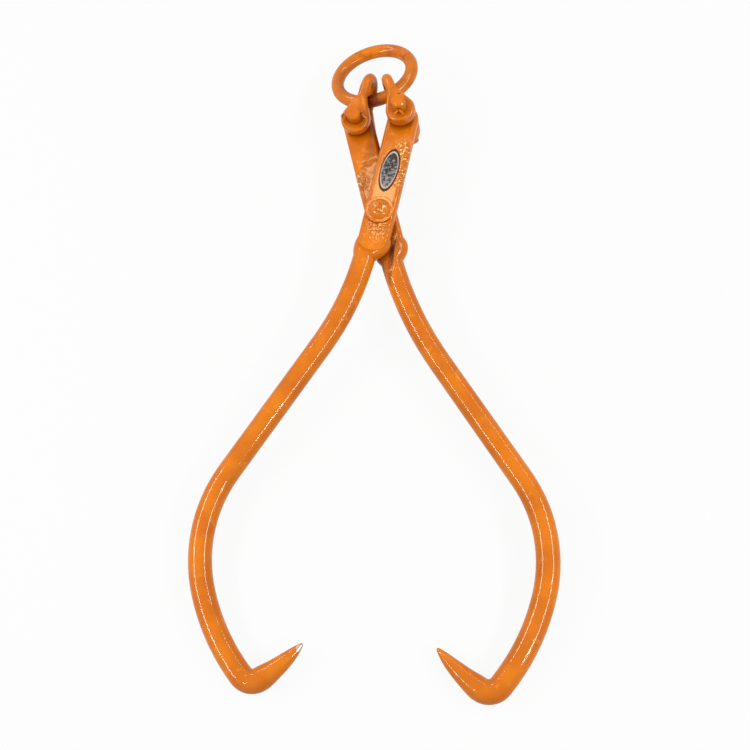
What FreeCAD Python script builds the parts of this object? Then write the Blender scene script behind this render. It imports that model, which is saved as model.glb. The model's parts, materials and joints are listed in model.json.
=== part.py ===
import FreeCAD, Part
import math
import os

import Sketcher
from FreeCAD import Placement, Rotation, Vector

# Skidding tongs: two forged arms crossed on a rivet, each with a bow shackle,
# both shackles hung from one round ring. The tongs lie flat with the ring
# towards +Y, the hooks towards -Y and +Z up. Millimetres and degrees.

doc = FreeCAD.newDocument("skidding_tongs")
sheet = doc.addObject("Spreadsheet::Sheet", "Sizes")

SIZES = [
    # arms: round bar
    ("bar_dia", 25.4),
    ("neck_start", 45.0),
    ("neck_length", 11.0),
    # arms: flat forged from the same bar
    ("flat_width", 35.6),
    ("flat_thick", 16.0),
    ("flat_edge_radius", 5.5),
    ("flat_lean", 13.1),
    ("flat_gap", 0.4),
    ("upper_pin_reach", 116.8),
    ("lower_pin_reach", 122.6),
    ("pin_slack_hole_dia", 18.6),
    ("shoulder_width", 40.0),
    ("shoulder_thick", 24.0),
    ("shoulder_at", 41.0),
    ("shoulder_root", 28.0),
    ("crease_radius", 20.0),
    ("crease_slope", 6.0),
    ("crease_below_neck", 3.0),
    ("closing_angle", 3.0),
    ("closing_clearance", 0.5),
    # arms: bends, angles from the tongs' long axis
    ("upper_shoulder_offset", 0.5),
    ("upper_neck_offset", 5.9),
    ("upper_spread_radius", 313.0),
    ("upper_spread_angle", 35.6),
    ("upper_straight", 170.1),
    ("upper_hook_start_angle", 39.2),
    ("upper_hook_end_angle", 122.2),
    ("upper_hook_length", 55.5),
    ("lower_shoulder_offset", 0.4),
    ("lower_neck_offset", -1.8),
    ("lower_spread_radius", 411.0),
    ("lower_spread_angle", 32.8),
    ("lower_straight", 155.0),
    ("lower_hook_start_angle", 40.8),
    ("lower_hook_end_angle", 126.6),
    ("lower_hook_length", 57.8),
    ("belly_radius", 152.0),
    ("belly_change_angle", 15.0),
    ("return_radius", 226.0),
    ("hook_bend_radius", 16.0),
    ("hook_rise_radius", 236.0),
    # arms: hook's taper, diameters at shares of its length
    ("hook_root_dia", 24.6),
    ("hook_quarter_dia", 21.8),
    ("hook_middle_dia", 17.8),
    ("hook_fore_dia", 12.4),
    ("hook_near_tip_dia", 7.6),
    ("hook_tip_dia", 2.4),
    # pivot rivet
    ("rivet_dia", 16.0),
    ("rivet_fit", 0.1),
    ("rivet_head_dia", 25.0),
    ("rivet_head_high", 7.0),
    ("rivet_washer_dia", 32.0),
    ("rivet_washer_thick", 2.8),
    ("rivet_washer_round", 0.9),
    # shackles
    ("bow_dia", 12.0),
    ("ear_dia", 33.6),
    ("ear_thick", 13.4),
    ("ear_round", 3.4),
    ("jaw_width", 25.0),
    ("bow_reach", 58.0),
    ("ear_flare_length", 28.0),
    ("shackle_tilt", 6.5),
    ("left_shackle_turn", 16.5),
    ("right_shackle_turn", 19.5),
    ("left_bolt_turn", 110.0),
    ("right_bolt_turn", -19.5),
    # shackle bolts and split pins
    ("bolt_dia", 15.9),
    ("bolt_fit", 0.1),
    ("bolt_head_flats", 27.0),
    ("bolt_head_high", 9.0),
    ("bolt_head_chamfer", 1.2),
    ("bolt_stub", 15.5),
    ("bolt_end_chamfer", 1.6),
    ("cotter_wire_dia", 2.2),
    ("cotter_wire_gap", 0.15),
    ("cotter_fit", 0.15),
    ("cotter_eye_radius", 2.7),
    ("cotter_leg_length", 7.0),
    ("cotter_leg_spread", 38.0),
    # ring
    ("ring_bar_dia", 15.2),
    ("ring_radius", 46.0),
    ("ring_across", -10.5),
    ("ring_along", 189.0),
    ("ring_up", -16.5),
    ("ring_pitch", 21.0),
    ("ring_roll", 9.0),
    # label plate
    ("label_length", 53.0),
    ("label_width", 20.4),
    ("label_thick", 0.8),
    ("label_at", 49.5),
    ("label_skew", 2.5),
    # lie of the tongs on the ground
    ("rest_pitch", 2.868),
    ("rest_roll", 3.916),
]

for row, (alias, value) in enumerate(SIZES, start=1):
    sheet.set("A%d" % row, alias)
    sheet.set("B%d" % row, str(value))
    sheet.setAlias("B%d" % row, alias)
doc.recompute()


def size(alias):
    return float(sheet.get(alias))


def bind(obj, prop, formula):
    """Bind a property to the sheet; words in angle brackets are its aliases."""
    obj.setExpression(prop, formula.replace("<", "Sizes.").replace(">", ""))


def origin_feature(body, role):
    for feature in body.Origin.OriginFeatures:
        if feature.Role == role:
            return feature
    raise RuntimeError("no origin feature " + role)


def new_body(name):
    body = doc.addObject("PartDesign::Body", name)
    body.Label = name
    return body


def flat_sketch(body, name, role="XY_Plane", height=None):
    """A sketch on one of the body's own origin planes, lifted by a formula."""
    sketch = body.newObject("Sketcher::SketchObject", name)
    sketch.AttachmentSupport = [(origin_feature(body, role), "")]
    sketch.MapMode = "FlatFace"
    if height is not None:
        bind(sketch, "AttachmentOffset.Base.z", height)
    return sketch


def add_circle(sketch, dia, x=None, y=None):
    """A circle whose diameter and centre follow the sheet."""
    index = sketch.addGeometry(Part.Circle(Vector(0.0, 1.0, 0.0), Vector(0, 0, 1), 5.0))
    number = sketch.addConstraint(Sketcher.Constraint("Diameter", index, 10.0))
    bind(sketch, "Constraints[%d]" % number, dia)
    if x is None and y is None:
        sketch.addConstraint(Sketcher.Constraint("Coincident", index, 3, -1, 1))
        return index
    if x is None:
        sketch.addConstraint(Sketcher.Constraint("PointOnObject", index, 3, -2))
    else:
        number = sketch.addConstraint(Sketcher.Constraint("DistanceX", -1, 1, index, 3, 1.0))
        bind(sketch, "Constraints[%d]" % number, x)
    if y is None:
        sketch.addConstraint(Sketcher.Constraint("PointOnObject", index, 3, -1))
    else:
        number = sketch.addConstraint(Sketcher.Constraint("DistanceY", -1, 1, index, 3, 1.0))
        bind(sketch, "Constraints[%d]" % number, y)
    return index


def pad(body, name, sketch, length, both_ways=False):
    feature = body.newObject("PartDesign::Pad", name)
    feature.Profile = sketch
    if both_ways:
        feature.SideType = "Symmetric"
    bind(feature, "Length", length)
    doc.recompute()
    return feature


def through_hole(body, name, sketch, length):
    feature = body.newObject("PartDesign::Pocket", name)
    feature.Profile = sketch
    feature.SideType = "Symmetric"
    bind(feature, "Length", length)
    doc.recompute()
    return feature


def edges_where(shape, wanted):
    """Names of the edges for which every sampled point is wanted."""
    names = []
    for number, edge in enumerate(shape.Edges, start=1):
        first, last = edge.ParameterRange
        points = [edge.valueAt(first + (last - first) * k / 4.0) for k in range(5)]
        if all(wanted(point) for point in points):
            names.append("Edge%d" % number)
    return names


def round_edges(body, name, base, wanted, radius, kind="Fillet"):
    feature = body.newObject("PartDesign::" + kind, name)
    feature.Base = (base, edges_where(base.Shape, wanted))
    bind(feature, "Radius" if kind == "Fillet" else "Size", radius)
    doc.recompute()
    return feature


def section_sketch(body, name, point, direction, dia):
    """A round section square to the bar at a point of its centre line."""
    sketch = body.newObject("Sketcher::SketchObject", name)
    normal = Vector(direction)
    normal.normalize()
    turn = Rotation(Vector(0, 0, 1), normal.cross(Vector(0, 0, 1)), normal, "ZXY")
    sketch.Placement = Placement(point, turn)
    add_circle(sketch, dia)
    return sketch


# Centre line of an arm
# Angles are taken from the flat's own axis, which runs along Y, with the
# pivot at the origin, the shackle's bolt on +Y and the hook's side on +X.


class CentreLine:
    """A run of straights and arcs that starts downwards along the flat."""

    def __init__(self, x, y):
        self.point = Vector(x, y, 0.0)
        self.angle = 0.0
        self.edges = []
        self.stations = []

    def direction(self):
        return Vector(math.sin(self.angle), -math.cos(self.angle), 0.0)

    def straight(self, length):
        end = self.point + self.direction() * length
        self.edges.append(Part.LineSegment(self.point, end))
        self.point = end

    def arc(self, radius, to_angle):
        side = 1.0 if to_angle > self.angle else -1.0
        start = self.point
        across = Vector(math.cos(self.angle), math.sin(self.angle), 0.0) * side
        centre = start + across * radius

        def at(angle):
            return centre - Vector(math.cos(angle), math.sin(angle), 0.0) * (side * radius)

        middle = at((self.angle + to_angle) / 2.0)
        end = at(to_angle)
        self.edges.append(Part.Arc(start, middle, end))
        self.point = end
        self.angle = to_angle

    def station(self):
        return Vector(self.point), self.direction()


def build_arm(name, side):
    lean = math.radians(size("flat_lean"))
    spread = math.radians(size(side + "_spread_angle")) - lean
    belly = -math.radians(size("belly_change_angle")) - lean
    hook_start = -math.radians(size(side + "_hook_start_angle")) - lean
    hook_end = -math.radians(size(side + "_hook_end_angle")) - lean
    hook_length = size(side + "_hook_length")

    body = new_body(name)

    # flat blade with a round end about the shackle's bolt
    blade = flat_sketch(body, name + "_blade_outline")
    half = size("flat_width") / 2.0
    reach = size(side + "_pin_reach")
    root = size("shoulder_at")
    corners = [Vector(-half, -root, 0), Vector(half, -root, 0), Vector(half, reach, 0)]
    corners.append(Vector(-half, reach, 0))
    blade.addGeometry(Part.LineSegment(corners[0], corners[1]))
    blade.addGeometry(Part.LineSegment(corners[1], corners[2]))
    top = Part.Arc(corners[2], Vector(0, reach + half, 0), corners[3])
    blade.addGeometry(top)
    blade.addGeometry(Part.LineSegment(corners[3], corners[0]))
    blade.addConstraint(Sketcher.Constraint("Coincident", 0, 2, 1, 1))
    blade.addConstraint(Sketcher.Constraint("Tangent", 1, 2, 2, 1))
    blade.addConstraint(Sketcher.Constraint("Tangent", 2, 2, 3, 1))
    blade.addConstraint(Sketcher.Constraint("Coincident", 3, 2, 0, 1))
    blade.addConstraint(Sketcher.Constraint("Horizontal", 0))
    blade.addConstraint(Sketcher.Constraint("Vertical", 1))
    blade.addConstraint(Sketcher.Constraint("PointOnObject", 2, 3, -2))
    number = blade.addConstraint(Sketcher.Constraint("DistanceY", 0, 1, -1, 1, root))
    bind(blade, "Constraints[%d]" % number, "<shoulder_at>")
    number = blade.addConstraint(Sketcher.Constraint("DistanceY", -1, 1, 2, 3, reach))
    bind(blade, "Constraints[%d]" % number, "<%s_pin_reach>" % side)
    number = blade.addConstraint(Sketcher.Constraint("DistanceX", 0, 1, 0, 2, 2.0 * half))
    bind(blade, "Constraints[%d]" % number, "<flat_width>")
    doc.recompute()
    flat = pad(body, name + "_flat", blade, "<flat_thick>", both_ways=True)
    face = size("flat_thick") / 2.0
    rounded = round_edges(
        body,
        name + "_flat_edges",
        flat,
        lambda p: abs(abs(p.z) - face) < 0.01 and (p.y > -root + 0.01 or abs(abs(p.x) - half) < 0.01),
        "<flat_edge_radius>",
    )

    # round bar from the neck to the end of the hook's bend
    spread_radius = size(side + "_spread_radius")
    line = CentreLine(size(side + "_neck_offset"), -size("neck_start"))
    line.arc(spread_radius, size("neck_length") / spread_radius)
    line.edges = []
    neck_point, neck_direction = line.station()
    line.arc(spread_radius, spread)
    line.straight(size(side + "_straight"))
    line.arc(size("belly_radius"), belly)
    line.arc(size("return_radius"), hook_start)
    line.arc(size("hook_bend_radius"), hook_end)
    spine = flat_sketch(body, name + "_bar_line")
    for edge in line.edges:
        spine.addGeometry(edge)
    doc.recompute()
    neck = section_sketch(body, name + "_neck_section", neck_point, neck_direction, "<bar_dia>")
    doc.recompute()

    # shoulder that swells from the flat and closes to the round bar
    root_point = Vector(0, -size("shoulder_root"), 0)
    swell_point = Vector(size(side + "_shoulder_offset"), -size("shoulder_at"), 0)
    down = Vector(0, -1, 0)
    swell = []
    for part, point, wide, thick in (
        ("root", root_point, size("flat_width") - 1.0, size("flat_thick") - 1.0),
        ("swell", swell_point, size("shoulder_width"), size("shoulder_thick")),
    ):
        sketch = body.newObject("Sketcher::SketchObject", name + "_" + part + "_section")
        turn = Rotation(down, down.cross(Vector(0, 0, 1)), down, "ZXY")
        sketch.Placement = Placement(point, turn)
        across = turn.inverted().multVec(Vector(1, 0, 0)) * (wide / 2.0)
        upward = turn.inverted().multVec(Vector(0, 0, 1)) * (thick / 2.0)
        sketch.addGeometry(Part.Ellipse(across, upward, Vector(0, 0, 0)))
        swell.append(sketch)
    doc.recompute()
    shoulder = body.newObject("PartDesign::AdditiveLoft", name + "_shoulder")
    shoulder.Profile = swell[0]
    shoulder.Sections = [swell[1], neck]
    doc.recompute()

    # round-ended step where the hammered outer flat stops on the shoulder
    sketch = flat_sketch(body, name + "_crease", "YZ_Plane")
    radius = size("crease_radius")
    slope = size("crease_slope")
    centre = radius - size("neck_start") - size("crease_below_neck")
    points = [
        Vector(centre, -face, 0),
        Vector(centre - radius, -face, 0),
        Vector(centre - radius - slope, -face - slope, 0),
        Vector(centre, -face - slope, 0),
    ]
    for k in range(4):
        sketch.addGeometry(Part.LineSegment(points[k], points[(k + 1) % 4]))
    sketch.addGeometry(Part.LineSegment(points[3], points[0]), True)
    doc.recompute()
    crease = body.newObject("PartDesign::Groove", name + "_step")
    crease.Profile = sketch
    crease.ReferenceAxis = (sketch, ["Axis0"])
    crease.Angle = 360.0
    doc.recompute()

    bar = body.newObject("PartDesign::AdditivePipe", name + "_bar")
    neck_copy = section_sketch(body, name + "_bar_section", neck_point, neck_direction, "<bar_dia>")
    bar.Profile = neck_copy
    bar.Spine = (spine, ["Edge%d" % (k + 1) for k in range(len(line.edges))])
    doc.recompute()

    # hook: past the bend the bar tapers to a point that rises a little
    stations = [(line.station(), "<bar_dia>")]
    rise = hook_length / size("hook_rise_radius")
    for share, dia in (
        (0.10, "<hook_root_dia>"),
        (0.25, "<hook_quarter_dia>"),
        (0.48, "<hook_middle_dia>"),
        (0.73, "<hook_fore_dia>"),
        (0.89, "<hook_near_tip_dia>"),
        (1.0, "<hook_tip_dia>"),
    ):
        line.arc(size("hook_rise_radius"), hook_end - rise * share)
        stations.append((line.station(), dia))
    sections = []
    for k, ((point, direction), dia) in enumerate(stations):
        sections.append(section_sketch(body, "%s_hook_section_%d" % (name, k), point, direction, dia))
    doc.recompute()
    hook = body.newObject("PartDesign::AdditiveLoft", name + "_hook")
    hook.Profile = sections[0]
    hook.Sections = sections[1:]
    doc.recompute()

    # flat face where the other arm passes, as far as it reaches when closed
    turn_angle = 2.0 * (lean - math.radians(size("closing_angle")))
    edge = size("shoulder_width") / 2.0 + size("closing_clearance")
    passing = flat_sketch(body, name + "_meeting_outline", "XY_Plane", "<flat_thick> / 2")
    points = []
    for y in (-size("shoulder_root") + 5.0, -2.3 * size("shoulder_at")):
        points.append(Vector((edge + y * math.sin(turn_angle)) / math.cos(turn_angle), y, 0))
    points.append(Vector(-2.0 * size("shoulder_at"), points[1].y, 0))
    points.append(Vector(-2.0 * size("shoulder_at"), points[0].y, 0))
    for k in range(4):
        passing.addGeometry(Part.LineSegment(points[k], points[(k + 1) % 4]))
    doc.recompute()
    meeting = body.newObject("PartDesign::Pocket", name + "_meeting_face")
    meeting.Profile = passing
    meeting.Reversed = True
    bind(meeting, "Length", "<shoulder_thick>")
    doc.recompute()

    # holes for the rivet and for the shackle's bolt
    sketch = flat_sketch(body, name + "_rivet_hole_circle")
    add_circle(sketch, "<rivet_dia> + 2 * <rivet_fit>")
    through_hole(body, name + "_rivet_hole", sketch, "2 * <flat_thick>")
    sketch = flat_sketch(body, name + "_bolt_hole_circle")
    add_circle(sketch, "<pin_slack_hole_dia>", None, "<%s_pin_reach>" % side)
    through_hole(body, name + "_bolt_hole", sketch, "2 * <flat_thick>")
    return body


def build_rivet():
    """Shank and both round heads; the washers' outer faces seat the heads."""
    body = new_body("pivot_rivet")
    seat = size("flat_gap") / 2.0 + size("flat_thick") + size("rivet_washer_thick")
    head = size("rivet_head_dia") / 2.0
    high = size("rivet_head_high")
    shank = size("rivet_dia") / 2.0
    dome = (head * head + high * high) / (2.0 * high)
    tilt = math.asin(head / dome) / 2.0
    side_x = dome * math.sin(tilt)
    side_y = seat + high - dome + dome * math.cos(tilt)
    sketch = flat_sketch(body, "pivot_rivet_outline", "XZ_Plane")
    points = [
        Vector(0, -seat - high, 0),
        Vector(head, -seat, 0),
        Vector(shank, -seat, 0),
        Vector(shank, seat, 0),
        Vector(head, seat, 0),
        Vector(0, seat + high, 0),
    ]
    sketch.addGeometry(Part.Arc(points[0], Vector(side_x, -side_y, 0), points[1]))
    sketch.addGeometry(Part.LineSegment(points[1], points[2]))
    sketch.addGeometry(Part.LineSegment(points[2], points[3]))
    sketch.addGeometry(Part.LineSegment(points[3], points[4]))
    sketch.addGeometry(Part.Arc(points[4], Vector(side_x, side_y, 0), points[5]))
    sketch.addGeometry(Part.LineSegment(points[5], points[0]))
    doc.recompute()
    whole = body.newObject("PartDesign::Revolution", "pivot_rivet_turned")
    whole.Profile = sketch
    whole.ReferenceAxis = (sketch, ["V_Axis"])
    whole.Angle = 360.0
    doc.recompute()
    return body


def build_rivet_washer(name):
    body = new_body(name)
    sketch = flat_sketch(body, name + "_outline")
    add_circle(sketch, "<rivet_washer_dia>")
    add_circle(sketch, "<rivet_dia> + 2 * <rivet_fit>")
    disc = pad(body, name + "_disc", sketch, "<rivet_washer_thick>")
    rim = size("rivet_washer_dia") / 2.0
    top = size("rivet_washer_thick")
    round_edges(
        body,
        name + "_rim",
        disc,
        lambda p: math.hypot(p.x, p.y) > rim - 0.01 and p.z > top - 0.01,
        "<rivet_washer_round>",
    )
    return body


def build_shackle(name):
    """Bow shackle with its bolt's axis on Z and its bow towards +Y."""
    body = new_body(name)
    ear = size("ear_dia") / 2.0
    leg = size("bow_dia") / 2.0
    flare = size("ear_flare_length")
    far = math.hypot(leg, flare)
    swing = math.acos(ear / far) + math.atan2(leg, flare)
    touch = Vector(ear * math.sin(swing), ear * math.cos(swing), 0)
    inner = size("jaw_width") / 2.0
    outer = inner + size("ear_thick")
    sign = {"upper": 1.0, "lower": -1.0}

    def build_ear(part):
        up = sign[part]
        height = "<jaw_width> / 2" if up > 0 else "-<jaw_width> / 2 - <ear_thick>"
        sketch = flat_sketch(body, "%s_%s_ear_outline" % (name, part), "XY_Plane", height)
        left = Vector(-touch.x, touch.y, 0)
        tip_right = Vector(leg, flare, 0)
        tip_left = Vector(-leg, flare, 0)
        sketch.addGeometry(Part.Arc(left, Vector(0, -ear, 0), touch))
        sketch.addGeometry(Part.LineSegment(touch, tip_right))
        sketch.addGeometry(Part.LineSegment(tip_right, tip_left))
        sketch.addGeometry(Part.LineSegment(tip_left, left))
        doc.recompute()
        block = pad(body, "%s_%s_ear" % (name, part), sketch, "<ear_thick>")

        def on_rim(p):
            level = abs(abs(p.z) - outer) < 0.01 or abs(abs(p.z) - inner) < 0.01
            return level and p.z * up > 0 and p.y < flare - 0.01 + (0.02 if abs(p.x) > leg - 0.01 else 0)

        round_edges(body, "%s_%s_ear_edges" % (name, part), block, on_rim, "<ear_round>")

    build_ear("upper")

    # bow of round bar between the ears
    leg_out = inner + size("ear_thick") / 2.0
    start = flare - leg
    crown = size("bow_reach") - leg_out
    bow_line = flat_sketch(body, name + "_bow_line", "YZ_Plane")
    top_start = Vector(start, leg_out, 0)
    top_end = Vector(crown, leg_out, 0)
    low_end = Vector(crown, -leg_out, 0)
    low_start = Vector(start, -leg_out, 0)
    bow_line.addGeometry(Part.LineSegment(top_start, top_end))
    bow_line.addGeometry(Part.Arc(top_end, Vector(crown + leg_out, 0, 0), low_end))
    bow_line.addGeometry(Part.LineSegment(low_end, low_start))
    section = body.newObject("Sketcher::SketchObject", name + "_bow_section")
    turn = Rotation(Vector(1, 0, 0), -90)
    section.Placement = Placement(Vector(0, start, leg_out), turn)
    add_circle(section, "<bow_dia>")
    doc.recompute()
    bow = body.newObject("PartDesign::AdditivePipe", name + "_bow")
    bow.Profile = section
    bow.Spine = (bow_line, ["Edge1", "Edge2", "Edge3"])
    doc.recompute()

    build_ear("lower")
    sketch = flat_sketch(body, name + "_bolt_hole_circle")
    add_circle(sketch, "<bolt_dia> + 2 * <bolt_fit>")
    through_hole(body, name + "_bolt_hole", sketch, "<jaw_width> + 4 * <ear_thick>")
    return body


def build_bolt(name):
    """Headed bolt through both ears; its head seats under the lower ear."""
    body = new_body(name)
    sketch = flat_sketch(body, name + "_head_outline", "XY_Plane", "-<jaw_width> / 2 - <ear_thick>")
    corner = size("bolt_head_flats") / 2.0 / math.cos(math.radians(30.0))
    points = []
    for k in range(6):
        angle = math.radians(30.0 + 60.0 * k)
        points.append(Vector(corner * math.cos(angle), corner * math.sin(angle), 0))
    for k in range(6):
        sketch.addGeometry(Part.LineSegment(points[k], points[(k + 1) % 6]))
    doc.recompute()
    head = body.newObject("PartDesign::Pad", name + "_head")
    head.Profile = sketch
    head.Reversed = True
    bind(head, "Length", "<bolt_head_high>")
    doc.recompute()
    low = -size("jaw_width") / 2.0 - size("ear_thick") - size("bolt_head_high")
    eased = round_edges(
        body,
        name + "_head_edges",
        head,
        lambda p: abs(p.z - low) < 0.01,
        "<bolt_head_chamfer>",
        "Chamfer",
    )
    shank_sketch = flat_sketch(
        body, name + "_shank_circle", "XY_Plane", "-<jaw_width> / 2 - <ear_thick> - <bolt_head_chamfer>"
    )
    add_circle(shank_sketch, "<bolt_dia>")
    shank = pad(
        body,
        name + "_shank",
        shank_sketch,
        "<jaw_width> + 2 * <ear_thick> + <bolt_stub> + <bolt_head_chamfer>",
    )
    end = size("jaw_width") / 2.0 + size("ear_thick") + size("bolt_stub")
    round_edges(
        body,
        name + "_shank_end",
        shank,
        lambda p: abs(p.z - end) < 0.01,
        "<bolt_end_chamfer>",
        "Chamfer",
    )
    middle = "<jaw_width> / 2 + <ear_thick> + <bolt_stub> / 2"
    cross = flat_sketch(body, name + "_cotter_hole_circle", "XZ_Plane")
    hole = "2 * <cotter_wire_dia> + <cotter_wire_gap> + 2 * <cotter_fit>"
    add_circle(cross, hole, None, middle)
    through_hole(body, name + "_cotter_hole", cross, "2 * <bolt_dia>")
    return body


def build_cotter(name):
    """Split pin along Y: an eye on +Y, two wires through, legs spread on -Y."""
    wire = size("cotter_wire_dia") / 2.0
    apart = wire + size("cotter_wire_gap") / 2.0
    edge = size("bolt_dia") / 2.0
    out = edge + 1.2
    eye_at = edge + 0.6 + size("cotter_eye_radius")
    spread = math.radians(size("cotter_leg_spread"))
    pieces = []
    eye = doc.addObject("Part::Torus", name + "_eye")
    bind(eye, "Radius1", "<cotter_eye_radius>")
    bind(eye, "Radius2", "<cotter_wire_dia> / 2")
    eye.Placement = Placement(Vector(0, eye_at, 0), Rotation())
    pieces.append(eye)
    for side in (-1.0, 1.0):
        word = "left" if side < 0 else "right"
        run = doc.addObject("Part::Cylinder", name + "_" + word + "_wire")
        bind(run, "Radius", "<cotter_wire_dia> / 2")
        run.Height = out + eye_at - size("cotter_eye_radius") + wire
        run.Placement = Placement(Vector(side * apart, -out, 0), Rotation(Vector(1, 0, 0), -90))
        pieces.append(run)
        knee = doc.addObject("Part::Sphere", name + "_" + word + "_knee")
        bind(knee, "Radius", "<cotter_wire_dia> / 2")
        knee.Placement = Placement(Vector(side * apart, -out, 0), Rotation())
        pieces.append(knee)
        leg = doc.addObject("Part::Cylinder", name + "_" + word + "_leg")
        bind(leg, "Radius", "<cotter_wire_dia> / 2")
        bind(leg, "Height", "<cotter_leg_length>")
        away = Vector(side * math.sin(spread), -math.cos(spread), 0)
        leg.Placement = Placement(Vector(side * apart, -out, 0), Rotation(Vector(0, 0, 1), away))
        pieces.append(leg)
    whole = doc.addObject("Part::MultiFuse", name)
    whole.Shapes = pieces
    whole.Label = name
    doc.recompute()
    return whole


def build_ring():
    ring = doc.addObject("Part::Torus", "lifting_ring")
    ring.Label = "lifting_ring"
    bind(ring, "Radius1", "<ring_radius>")
    bind(ring, "Radius2", "<ring_bar_dia> / 2")
    doc.recompute()
    return ring


def build_label():
    outline = doc.addObject("Part::Ellipse", "label_outline")
    bind(outline, "MajorRadius", "<label_length> / 2")
    bind(outline, "MinorRadius", "<label_width> / 2")
    plate = doc.addObject("Part::Extrusion", "label_plate")
    plate.Label = "label_plate"
    plate.Base = outline
    plate.DirMode = "Custom"
    plate.Dir = Vector(0, 0, 1)
    bind(plate, "LengthFwd", "<label_thick>")
    plate.Solid = True
    doc.recompute()
    return plate


# Build every piece in its own frame

lower_arm = build_arm("lower_arm", "lower")
upper_arm = build_arm("upper_arm", "upper")
pivot_rivet = build_rivet()
upper_washer = build_rivet_washer("upper_rivet_washer")
lower_washer = build_rivet_washer("lower_rivet_washer")
left_shackle = build_shackle("left_shackle")
right_shackle = build_shackle("right_shackle")
left_bolt = build_bolt("left_shackle_bolt")
right_bolt = build_bolt("right_shackle_bolt")
left_cotter = build_cotter("left_cotter")
right_cotter = build_cotter("right_cotter")
lifting_ring = build_ring()
label_plate = build_label()

# Put the pieces together with the pivot's axis on Z and the arms' meeting
# plane at height 0

X_AXIS = Vector(1, 0, 0)
Y_AXIS = Vector(0, 1, 0)
Z_AXIS = Vector(0, 0, 1)


def turned(axis, degrees):
    return Placement(Vector(0, 0, 0), Rotation(axis, degrees))


def moved(x, y, z):
    return Placement(Vector(x, y, z), Rotation())


lean = size("flat_lean")
arm_height = size("flat_thick") / 2.0 + size("flat_gap") / 2.0
face_height = size("flat_thick") + size("flat_gap") / 2.0
slope_x = math.sin(math.radians(lean))
slope_y = math.cos(math.radians(lean))
left_reach = size("lower_pin_reach")
right_reach = size("upper_pin_reach")

lower_place = moved(0, 0, -arm_height) * turned(Z_AXIS, lean)
upper_place = moved(0, 0, arm_height) * turned(Z_AXIS, -lean) * turned(Y_AXIS, 180.0)
left_place = (
    moved(-left_reach * slope_x, left_reach * slope_y, -arm_height)
    * turned(Z_AXIS, -size("left_shackle_turn"))
    * turned(X_AXIS, size("shackle_tilt"))
)
right_place = (
    moved(right_reach * slope_x, right_reach * slope_y, arm_height)
    * turned(Z_AXIS, size("right_shackle_turn"))
    * turned(X_AXIS, -size("shackle_tilt"))
)
cotter_up = size("jaw_width") / 2.0 + size("ear_thick") + size("bolt_stub") / 2.0
left_bolt_turn = turned(Z_AXIS, size("left_bolt_turn"))
right_bolt_turn = turned(Z_AXIS, size("right_bolt_turn"))
ring_place = (
    moved(size("ring_across"), size("ring_along"), size("ring_up"))
    * turned(Y_AXIS, -size("ring_roll"))
    * turned(X_AXIS, -size("ring_pitch"))
)
label_place = (
    turned(Z_AXIS, -lean)
    * moved(0, size("label_at"), face_height)
    * turned(Z_AXIS, 90.0 - size("label_skew"))
)

PLACES = [
    (lower_arm, lower_place),
    (upper_arm, upper_place),
    (pivot_rivet, Placement()),
    (upper_washer, moved(0, 0, face_height)),
    (lower_washer, moved(0, 0, -face_height) * turned(X_AXIS, 180.0)),
    (left_shackle, left_place),
    (right_shackle, right_place),
    (left_bolt, left_place * left_bolt_turn),
    (right_bolt, right_place * right_bolt_turn),
    (left_cotter, left_place * left_bolt_turn * moved(0, 0, cotter_up)),
    (right_cotter, right_place * right_bolt_turn * moved(0, 0, cotter_up)),
    (lifting_ring, ring_place),
    (label_plate, label_place),
]

# Lay the tongs on the ground and bring the box's bottom centre to the origin

lie = turned(Y_AXIS, -size("rest_roll")) * turned(X_AXIS, size("rest_pitch"))
for piece, place in PLACES:
    piece.Placement = lie * place
doc.recompute()

low = Vector(1e9, 1e9, 1e9)
high = Vector(-1e9, -1e9, -1e9)
for piece, place in PLACES:
    box = piece.Shape.optimalBoundingBox(False)
    low = Vector(min(low.x, box.XMin), min(low.y, box.YMin), min(low.z, box.ZMin))
    high = Vector(max(high.x, box.XMax), max(high.y, box.YMax), max(high.z, box.ZMax))
base = moved(-(low.x + high.x) / 2.0, -(low.y + high.y) / 2.0, -low.z)
for piece, place in PLACES:
    piece.Placement = base * lie * place
doc.recompute()

# Check every object, then write every piece

for obj in doc.Objects:
    if "Invalid" in obj.State or "Error" in obj.State:
        raise RuntimeError("failed object: %s %s" % (obj.Name, obj.State))
for piece, place in PLACES:
    if piece.Shape.isNull() or not piece.Shape.isValid():
        raise RuntimeError("bad shape: " + piece.Label)
    if len(piece.Shape.Solids) != 1:
        raise RuntimeError("not one solid: " + piece.Label)

os.makedirs("parts", exist_ok=True)
for piece, place in PLACES:
    piece.Shape.exportStep("parts/%s.step" % piece.Label)
    print(piece.Label, "volume %.0f" % piece.Shape.Volume)
print("box", high - low, "base", list(base.Base), "lie", list(lie.Rotation.Q))
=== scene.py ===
import json

import bpy
from mathutils import Matrix, Quaternion, Vector


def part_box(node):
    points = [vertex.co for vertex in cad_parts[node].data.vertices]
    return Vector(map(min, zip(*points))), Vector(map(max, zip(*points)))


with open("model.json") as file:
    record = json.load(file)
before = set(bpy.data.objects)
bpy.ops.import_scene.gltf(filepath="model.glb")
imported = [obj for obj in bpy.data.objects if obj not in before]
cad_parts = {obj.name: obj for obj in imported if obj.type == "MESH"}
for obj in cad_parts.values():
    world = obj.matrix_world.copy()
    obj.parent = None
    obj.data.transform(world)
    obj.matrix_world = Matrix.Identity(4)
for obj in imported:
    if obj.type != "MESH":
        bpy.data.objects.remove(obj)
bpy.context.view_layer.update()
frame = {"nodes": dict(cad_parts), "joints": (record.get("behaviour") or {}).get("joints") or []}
nodes = frame["nodes"]

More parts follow.
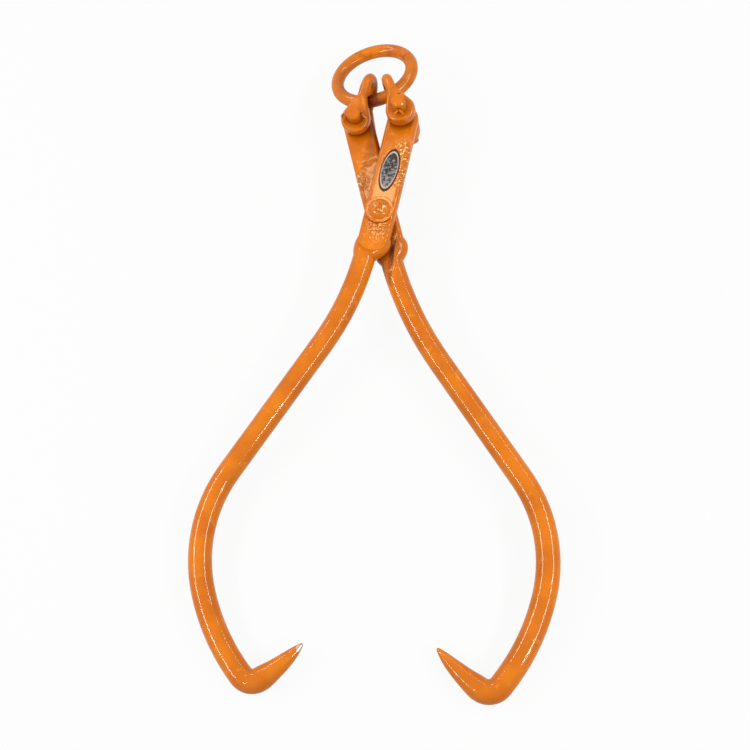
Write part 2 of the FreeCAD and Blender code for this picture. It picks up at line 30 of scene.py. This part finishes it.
# Camera at the photograph's angle, for a square picture
CAMERA_AT = (0.08249, -0.41734, 1.16807)
CAMERA_TURN = (0.986768, 0.158546, 0.033899, -0.002)
FOCAL_PIXELS = 1098.0
PICTURE_PIXELS = 750.0
SENSOR_WIDTH = 36.0

# Colours, as scene-linear values
WHITE = (1.0, 1.0, 1.0, 1.0)
ORANGE = (0.57, 0.148, 0.001, 1.0)
ORANGE_DEEP = (0.49, 0.117, 0.001, 1.0)
ORANGE_WORN = (0.70, 0.230, 0.020, 1.0)
# Dark brown of the stains, also used for the painted shade in corners and crevices
ORANGE_STAIN_AND_SHADE = (0.17, 0.020, 0.001, 1.0)
# Pale yellow of the painted glints on the hammer marks
ORANGE_PAINTED_GLINT = (0.95, 0.62, 0.24, 1.0)
WARM_TINT = (1.0, 0.78, 0.45, 1.0)
STEEL = (0.36, 0.33, 0.31, 1.0)
PLATE_LIGHT = (0.22, 0.21, 0.20, 1.0)
PLATE_DARK = (0.022, 0.020, 0.018, 1.0)
PLATE_LINE = (0.46, 0.33, 0.27, 1.0)
PLATE_EDGE = (0.035, 0.018, 0.012, 1.0)
FLOOR_GREY = (0.50, 0.50, 0.50, 1.0)

# Noises: features per metre, detail in octaves, roughness
SWELL = (30.0, 2.0, 0.5)
STAINS = (55.0, 3.0, 0.6)
FLECKS = (80.0, 4.0, 0.6)
PEBBLES = (210.0, 2.0, 0.5)
CHIPS = (330.0, 2.0, 0.6)
MOTTLE = (330.0, 4.0, 0.7)

# Levels of a noise or mask between which its effect sets in
SHADE_LEVELS = (0.35, 0.65)
THIN_LEVELS = (0.58, 0.72)
STAIN_LEVELS = (0.54, 0.68)
MARK_LEVELS = (0.46, 0.58)
GLINT_LEVELS = (0.56, 0.62)
METAL_LEVELS = (0.3, 0.7)
TONE_LEVELS = (0.46, 0.60)

# Greatest shares of the thin paint, the painted glints on the hammer marks and the bare metal
THIN_SHARE = 0.5
GLINT_SHARE = 0.8
METAL_SHARE = 0.7

# Painted shade in corners and crevices: a surface within this distance in metres darkens the
# paint's colour
PAINTED_SHADE_DEPTH = 0.014
PAINTED_SHADE_SAMPLES = 8
PAINTED_SHADE_LEVELS = (0.35, 0.85)
PAINTED_SHADE_SHARE = 0.85

# Relief of the paint, with its heights in metres
RELIEF_STRENGTH = 0.30
SWELL_HEIGHT = 0.0018
FINE_GRAIN = 0.0004
COARSE_GRAIN = 0.0008

# Depth of the brown stains on the shackles, bolts, washers and ring
FITTING_STAIN = 0.40

# Share of a hammered spot's radius within which its marks and painted glints are at full
# strength
SPOT_CORE = 0.35

# Upper arm's hook: all of the arm beyond this y, in metres
HOOK_BEYOND = -0.3

# Bare tip: radius in metres; shares of it for the edge's raggedness and its fading
BARE_RADIUS = 0.0045
BARE_RAGGED = 0.5
BARE_FADE = 1.3

# Label: where its pale line and its dark edge begin, as shares of the half width
LINE_LEVELS = (0.79, 0.81)
EDGE_LEVELS = (0.87, 0.90)

# Label: how much darker its field gets towards one end
TONE_DRIFT = 0.08

# Settings of the surfaces
PAINT_SURFACE = {
    "Roughness": 0.38,
    "Specular IOR Level": 0.05,
    "Specular Tint": WARM_TINT,
    "Coat Weight": 0.45,
    "Coat IOR": 1.5,
    "Coat Roughness": 0.07,
}
PLATE_SURFACE = {"Roughness": 0.6, "Specular IOR Level": 0.2}
FLOOR_SURFACE = {"Base Color": FLOOR_GREY, "Roughness": 0.9, "Specular IOR Level": 0.0}

# Floor: half its side and its depth below the ground, in metres
FLOOR_REACH = 6.0
FLOOR_DEPTH = 0.0006

# Share of plain white in the floor as the camera sees it; the rest keeps the shadow
FLOOR_WHITE_SHARE = 0.93

# Strength of the world's light on the object
WORLD_LIGHT = 0.15

# Strength of the world where it is seen or mirrored, level with the far floor
WORLD_SEEN = 0.94

# Lamps: place, point aimed at, width and length in metres, power in watts, colour
PLAIN_LIGHT = (1.0, 1.0, 1.0)
GOLDEN_LIGHT = (1.0, 0.80, 0.44)
LAMPS = {
    "back_left": ((-0.85, 1.15, 0.85), (-0.05, 0.0, 0.0), 0.7, 0.12, 6.0, PLAIN_LIGHT),
    "back_right": ((0.95, 1.05, 0.95), (0.05, 0.0, 0.0), 1.1, 0.10, 5.0, PLAIN_LIGHT),
    "left": ((-1.30, -0.20, 1.05), (-0.05, -0.05, 0.0), 1.6, 0.15, 26.0, PLAIN_LIGHT),
    "right": ((1.30, -0.25, 1.15), (0.05, -0.05, 0.0), 1.6, 0.15, 25.0, PLAIN_LIGHT),
    "front_right": ((0.80, -0.75, 1.00), (0.02, 0.20, 0.05), 0.10, 0.10, 2.6, PLAIN_LIGHT),
    "front_left": ((-0.60, -0.80, 1.00), (0.00, 0.20, 0.05), 0.08, 0.08, 1.5, PLAIN_LIGHT),
    "sheen": ((-0.195, 0.62, 1.15), (0.015, 0.17, 0.06), 0.14, 0.14, 1.1, GOLDEN_LIGHT),
}


def new_material(name):
    material = bpy.data.materials.new(name)
    material.use_nodes = True
    tree = material.node_tree
    shader = tree.nodes["Principled BSDF"]
    return material, tree, shader


def set_input(node, name, value):
    node.inputs[name].default_value = value


def set_surface(shader, surface):
    for name, value in surface.items():
        set_input(shader, name, value)


def noise(tree, place, kind):
    scale, detail, roughness = kind
    node = tree.nodes.new("ShaderNodeTexNoise")
    set_input(node, "Scale", scale)
    set_input(node, "Detail", detail)
    set_input(node, "Roughness", roughness)
    tree.links.new(place, node.inputs["Vector"])
    return node.outputs["Fac"]


def ramp(tree, value, levels, start=0.0, end=1.0):
    """Value mapped from the two levels to start and end, held beyond both."""
    node = tree.nodes.new("ShaderNodeMapRange")
    node.interpolation_type = "SMOOTHSTEP"
    set_input(node, "From Min", levels[0])
    set_input(node, "From Max", levels[1])
    set_input(node, "To Min", start)
    set_input(node, "To Max", end)
    tree.links.new(value, node.inputs["Value"])
    return node.outputs["Result"]


def math_node(tree, operation, a, b):
    """Maths node for a socket a and a socket or number b."""
    node = tree.nodes.new("ShaderNodeMath")
    node.operation = operation
    tree.links.new(a, node.inputs[0])
    if isinstance(b, float):
        node.inputs[1].default_value = b
    else:
        tree.links.new(b, node.inputs[1])
    return node.outputs["Value"]


def vector_node(tree, operation, a, b=None):
    """Outputs of a vector maths node for a socket a and a plain vector b."""
    node = tree.nodes.new("ShaderNodeVectorMath")
    node.operation = operation
    tree.links.new(a, node.inputs[0])
    if b is not None:
        node.inputs[1].default_value = b
    return node.outputs


def colour_socket(sockets, name):
    return next(socket for socket in sockets if socket.name == name and socket.type == "RGBA")


def mix_colour(tree, factor, a, b):
    """From colour a at factor 0 to colour b at 1, each a socket or a plain colour."""
    node = tree.nodes.new("ShaderNodeMix")
    node.data_type = "RGBA"
    tree.links.new(factor, node.inputs["Factor"])
    for name, value in (("A", a), ("B", b)):
        socket = colour_socket(node.inputs, name)
        if isinstance(value, tuple):
            socket.default_value = value
        else:
            tree.links.new(value, socket)
    return colour_socket(node.outputs, "Result")


def bump(tree, height, strength, distance, before=None):
    node = tree.nodes.new("ShaderNodeBump")
    set_input(node, "Strength", strength)
    set_input(node, "Distance", distance)
    tree.links.new(height, node.inputs["Height"])
    if before is not None:
        tree.links.new(before, node.inputs["Normal"])
    return node.outputs["Normal"]


def spot(anchor, offset, radius, height):
    """Hammered area: its centre, its radius and the height of its marks, in metres."""
    return tuple(anchor + Vector(offset)), radius, height


def paint(name, rough_and_glint_spots=(), bare_tip=None, stain=0.0, grain=FINE_GRAIN):
    """Glossy orange enamel over forged steel, with painted shade in its corners and painted
    glints on its hammered spots.

    rough_and_glint_spots: hammered areas, each as spot() gives it, with bumped marks and painted
    glints on them.
    bare_tip: centre and radius of an end rubbed down to the steel.
    stain: depth of the brown stains, grain: height in metres of the paint's grain.
    """
    material, tree, shader = new_material(name)
    place = tree.nodes.new("ShaderNodeTexCoord").outputs["Object"]
    swell = noise(tree, place, SWELL)
    pebbles = noise(tree, place, PEBBLES)
    flecks = noise(tree, place, FLECKS)
    stains = noise(tree, place, STAINS)

    colour = mix_colour(tree, ramp(tree, swell, SHADE_LEVELS), ORANGE_DEEP, ORANGE)
    thin = ramp(tree, flecks, THIN_LEVELS, 0.0, THIN_SHARE)
    colour = mix_colour(tree, thin, colour, ORANGE_WORN)
    stained = ramp(tree, stains, STAIN_LEVELS, 0.0, stain)
    colour = mix_colour(tree, stained, colour, ORANGE_STAIN_AND_SHADE)
    # Painted shade: the colour turns dark brown where other surfaces are near, in corners and
    # crevices
    open_air = tree.nodes.new("ShaderNodeAmbientOcclusion")
    open_air.samples = PAINTED_SHADE_SAMPLES
    set_input(open_air, "Distance", PAINTED_SHADE_DEPTH)
    corner = ramp(tree, open_air.outputs["AO"], PAINTED_SHADE_LEVELS, PAINTED_SHADE_SHARE, 0.0)
    colour = mix_colour(tree, corner, colour, ORANGE_STAIN_AND_SHADE)
    normal = bump(tree, swell, RELIEF_STRENGTH, SWELL_HEIGHT)
    normal = bump(tree, pebbles, RELIEF_STRENGTH, grain, normal)

    for centre, radius, height in rough_and_glint_spots:
        away = vector_node(tree, "DISTANCE", place, centre)["Value"]
        inside = ramp(tree, away, (radius * SPOT_CORE, radius), 1.0, 0.0)
        chips = noise(tree, place, CHIPS)
        marks = math_node(tree, "MULTIPLY", ramp(tree, chips, MARK_LEVELS), inside)
        normal = bump(tree, marks, 1.0, height, normal)
        # Painted glints: pale flecks on the hammer marks, painted in place of highlights from
        # the struck facets
        glint_level = ramp(tree, chips, GLINT_LEVELS, 0.0, GLINT_SHARE)
        glint_mask = math_node(tree, "MULTIPLY", glint_level, inside)
        colour = mix_colour(tree, glint_mask, colour, ORANGE_PAINTED_GLINT)

    if bare_tip is not None:
        centre, radius = bare_tip
        away = vector_node(tree, "DISTANCE", place, centre)["Value"]
        ragged = math_node(tree, "MULTIPLY", flecks, radius * BARE_RAGGED)
        edge = math_node(tree, "ADD", away, ragged)
        bare = ramp(tree, edge, (radius, radius * BARE_FADE), 1.0, 0.0)
        colour = mix_colour(tree, bare, colour, STEEL)
        metal = ramp(tree, bare, METAL_LEVELS, 0.0, METAL_SHARE)
        tree.links.new(metal, shader.inputs["Metallic"])

    set_surface(shader, PAINT_SURFACE)
    tree.links.new(colour, shader.inputs["Base Color"])
    tree.links.new(normal, shader.inputs["Normal"])
    tree.links.new(normal, shader.inputs["Coat Normal"])
    return material


def oval_plate(name, vertices, centre, square_on):
    """Blank oval plate: dark edge, pale line inside it and a mottled grey field.

    square_on: direction that the plate faces.
    """
    material, tree, shader = new_material(name)
    place = tree.nodes.new("ShaderNodeTexCoord").outputs["Object"]

    # The oval's own axes, with 1 at its edge
    corners = [vertex.co - centre for vertex in vertices]
    long_way = max(corners, key=lambda corner: corner.length)
    if long_way.y < 0.0:
        long_way = -long_way
    long_way = long_way.normalized()
    short_way = square_on.cross(long_way).normalized()
    half_long = max(abs(corner.dot(long_way)) for corner in corners)
    half_short = max(abs(corner.dot(short_way)) for corner in corners)
    turn = Matrix((long_way, short_way, square_on)).transposed()
    mapping = tree.nodes.new("ShaderNodeMapping")
    mapping.vector_type = "TEXTURE"
    set_input(mapping, "Location", centre)
    set_input(mapping, "Rotation", turn.to_euler())
    set_input(mapping, "Scale", (half_long, half_short, 1.0))
    tree.links.new(place, mapping.inputs["Vector"])
    in_oval = mapping.outputs["Vector"]
    flat = vector_node(tree, "MULTIPLY", in_oval, (1.0, 1.0, 0.0))["Vector"]
    out = vector_node(tree, "LENGTH", flat)["Value"]
    along = tree.nodes.new("ShaderNodeSeparateXYZ")
    tree.links.new(in_oval, along.inputs["Vector"])

    mottle = noise(tree, place, MOTTLE)
    drift = math_node(tree, "MULTIPLY", along.outputs["X"], TONE_DRIFT)
    tone = math_node(tree, "SUBTRACT", mottle, drift)
    field = mix_colour(tree, ramp(tree, tone, TONE_LEVELS), PLATE_DARK, PLATE_LIGHT)
    field = mix_colour(tree, ramp(tree, out, LINE_LEVELS), field, PLATE_LINE)
    field = mix_colour(tree, ramp(tree, out, EDGE_LEVELS), field, PLATE_EDGE)
    tree.links.new(field, shader.inputs["Base Color"])
    set_surface(shader, PLATE_SURFACE)
    return material


def assign(names, material):
    for name in names:
        nodes[name].data.materials.clear()
        nodes[name].data.materials.append(material)


def seen_or_mirrored(tree):
    """One for rays from the camera and from mirroring or clear surfaces, else zero."""
    ray = tree.nodes.new("ShaderNodeLightPath").outputs
    mirrored = math_node(tree, "MAXIMUM", ray["Is Glossy Ray"], ray["Is Transmission Ray"])
    return math_node(tree, "MAXIMUM", ray["Is Camera Ray"], mirrored)


def area_light(name, at, aim, wide, long, power, colour):
    data = bpy.data.lights.new(name, "AREA")
    data.shape = "RECTANGLE"
    data.size = wide
    data.size_y = long
    data.energy = power
    data.color = colour
    lamp = bpy.data.objects.new(name, data)
    lamp.location = at
    lamp.rotation_mode = "QUATERNION"
    lamp.rotation_quaternion = (Vector(aim) - Vector(at)).to_track_quat("-Z", "Y")
    bpy.context.scene.collection.objects.link(lamp)


rivet_low, rivet_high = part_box("pivot_rivet")
pivot = (rivet_low + rivet_high) / 2.0
rivet_top = Vector((pivot.x, pivot.y, rivet_high.z))
label_low, label_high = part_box("label_plate")
label_at = (label_low + label_high) / 2.0

# Hammered patches beside the rivet and the label, and the hammered rivet head, each with painted
# glints on its marks
below_rivet = spot(pivot, (-0.002, -0.022, 0.018), 0.018, 0.0010)
above_label = spot(label_at, (0.018, 0.022, 0.0), 0.020, 0.0010)
beside_label = spot(label_at, (0.014, -0.008, 0.0), 0.016, 0.0008)
lower_patch = spot(pivot, (-0.030, 0.044, -0.008), 0.020, 0.0010)
lower_shoulder = spot(pivot, (0.018, -0.042, -0.004), 0.008, 0.0004)
lower_neck = spot(pivot, (0.014, -0.064, -0.004), 0.009, 0.0004)
rivet_head = spot(rivet_top, (0.0, 0.0, 0.0), 0.011, 0.0014)

# Upper arm's point: the far right of its hook
hook = [vertex.co for vertex in nodes["upper_arm"].data.vertices if vertex.co.y < HOOK_BEYOND]
tip = max(hook, key=lambda point: point.x)
worn_side = tuple(tip + Vector((-0.003, -0.004, 0.003)))

assign(
    ["upper_arm"],
    paint(
        "orange_upper_arm",
        rough_and_glint_spots=[below_rivet, above_label, beside_label],
        bare_tip=(worn_side, BARE_RADIUS),
    ),
)
assign(
    ["lower_arm"],
    paint("orange_lower_arm", rough_and_glint_spots=[lower_patch, lower_shoulder, lower_neck]),
)
assign(["pivot_rivet"], paint("orange_rivet", rough_and_glint_spots=[rivet_head]))
assign(
    [
        "upper_rivet_washer",
        "lower_rivet_washer",
        "left_shackle",
        "right_shackle",
        "left_shackle_bolt",
        "right_shackle_bolt",
        "left_cotter",
        "right_cotter",
        "lifting_ring",
    ],
    paint("orange_fittings", stain=FITTING_STAIN, grain=COARSE_GRAIN),
)

# The label lies square on the rivet's axis, about which the arms open
rivet_axis = Vector(frame["joints"][0]["axis"])
label_points = nodes["label_plate"].data.vertices
assign(["label_plate"], oval_plate("blank_oval_plate", label_points, label_at, rivet_axis))

# Floor, nearly white, that keeps a faint shadow
floor_corners = [
    (-FLOOR_REACH, -FLOOR_REACH, 0.0),
    (FLOOR_REACH, -FLOOR_REACH, 0.0),
    (FLOOR_REACH, FLOOR_REACH, 0.0),
    (-FLOOR_REACH, FLOOR_REACH, 0.0),
]
floor_mesh = bpy.data.meshes.new("floor")
floor_mesh.from_pydata(floor_corners, [], [(0, 1, 2, 3)])
floor = bpy.data.objects.new("floor", floor_mesh)
floor.location.z = -FLOOR_DEPTH
bpy.context.scene.collection.objects.link(floor)
floor_material, floor_tree, floor_shader = new_material("floor_white")
set_surface(floor_shader, FLOOR_SURFACE)
white = floor_tree.nodes.new("ShaderNodeEmission")
blend = floor_tree.nodes.new("ShaderNodeMixShader")
seen = math_node(floor_tree, "MULTIPLY", seen_or_mirrored(floor_tree), FLOOR_WHITE_SHARE)
floor_tree.links.new(seen, blend.inputs["Fac"])
floor_tree.links.new(floor_shader.outputs["BSDF"], blend.inputs[1])
floor_tree.links.new(white.outputs["Emission"], blend.inputs[2])
floor_surface = floor_tree.nodes["Material Output"].inputs["Surface"]
floor_tree.links.new(blend.outputs["Shader"], floor_surface)
floor.data.materials.append(floor_material)

# World: dim white light on the object, nearly white where it is seen or mirrored
world = bpy.data.worlds.new("studio")
bpy.context.scene.world = world
world.use_nodes = True
world_tree = world.node_tree
background = world_tree.nodes["Background"]
set_input(background, "Color", WHITE)
world_seen = seen_or_mirrored(world_tree)
strength = ramp(world_tree, world_seen, (0.0, 1.0), WORLD_LIGHT, WORLD_SEEN)
world_tree.links.new(strength, background.inputs["Strength"])

for lamp_name, lamp_values in LAMPS.items():
    area_light(lamp_name, *lamp_values)

camera_data = bpy.data.cameras.new("photo_camera")
camera_data.sensor_width = SENSOR_WIDTH
camera_data.lens = SENSOR_WIDTH * FOCAL_PIXELS / PICTURE_PIXELS
camera = bpy.data.objects.new("photo_camera", camera_data)
camera.location = CAMERA_AT
camera.rotation_mode = "QUATERNION"
camera.rotation_quaternion = Quaternion(CAMERA_TURN)
bpy.context.scene.collection.objects.link(camera)
bpy.context.scene.camera = camera
bpy.context.scene.view_settings.view_transform = "Standard"
